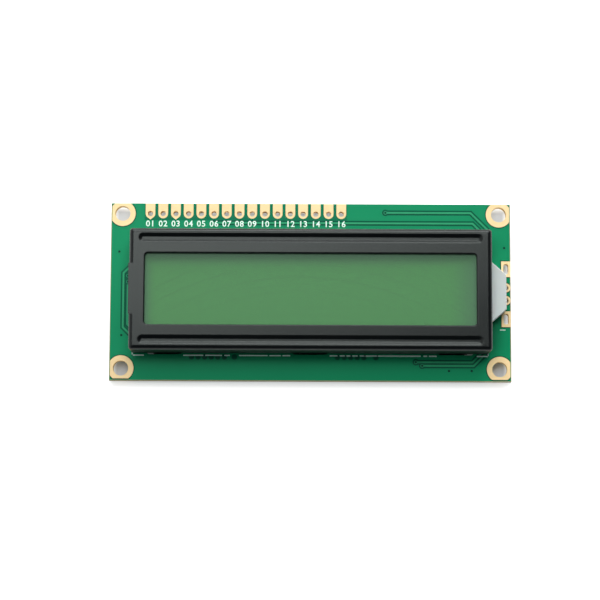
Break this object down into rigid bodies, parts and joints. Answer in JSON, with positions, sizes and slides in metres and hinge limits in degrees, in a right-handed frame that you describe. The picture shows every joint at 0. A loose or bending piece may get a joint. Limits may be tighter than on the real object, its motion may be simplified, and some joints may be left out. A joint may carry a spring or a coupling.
{
  "type": "character lcd module",
  "caption": "Bare character display board: green circuit board, black steel bezel with a window, edge-lit backlight, header pads along one long edge.",
  "frame": {"origin": "centre of the rectangular pattern of mounting holes, on the rear face of the circuit board", "axes": "+X along the board towards the backlight's lamp end, +Y towards the header pads, +Z out of the display's face"},
  "size_m": [0.0796, 0.0355, 0.01],
  "materials": {
    "solder_mask": "glossy green mask over glass-fibre board",
    "gold_plating": "thin gold over copper, satin",
    "bezel_black": "satin black coat on steel sheet",
    "polarizer_green": "smooth film over a yellow-green display",
    "display_glass": "clear float glass",
    "seal_epoxy": "cured epoxy line",
    "liquid_crystal": "clear yellow-green fluid film",
    "rear_film": "pearly transflective film",
    "diffuser": "milky film",
    "guide_white": "milky acrylic",
    "reflector": "white film",
    "lamp_body": "white moulded body",
    "tinned_lead": "tin plate",
    "solder": "smooth solder",
    "strip_rubber": "layered pale and dark silicone rubber",
    "die_silicon": "polished silicon",
    "cap_epoxy": "glossy black epoxy drop",
    "chip_black": "black glaze with tinned ends",
    "chip_tan": "tan ceramic with tinned ends"
  },
  "bodies": {
    "root": {"circuit_board": "solder_mask", "mounting_rings": "gold_plating", "header_pads": "gold_plating", "backlight_slot_pads": "gold_plating", "backlight_pin_pads": "gold_plating", "contact_fingers": "gold_plating", "chip_pads": "gold_plating", "bezel": "bezel_black", "front_polarizer": "polarizer_green", "front_glass": "display_glass", "cell_seal": "seal_epoxy", "liquid_crystal": "liquid_crystal", "rear_glass": "display_glass", "rear_polarizer": "rear_film", "diffuser_film": "diffuser", "reflector_film": "reflector", "light_guide": "guide_white", "lamp": "lamp_body", "lamp_leads": "tinned_lead", "lamp_solder": "solder", "rubber_strip_upper": "strip_rubber", "rubber_strip_lower": "strip_rubber", "controller_die": "die_silicon", "driver_die": "die_silicon", "controller_cap": "cap_epoxy", "driver_cap": "cap_epoxy", "chip_resistors": "chip_black", "chip_capacitors": "chip_tan", "chip_solder": "solder"}
  },
  "joints": []
}
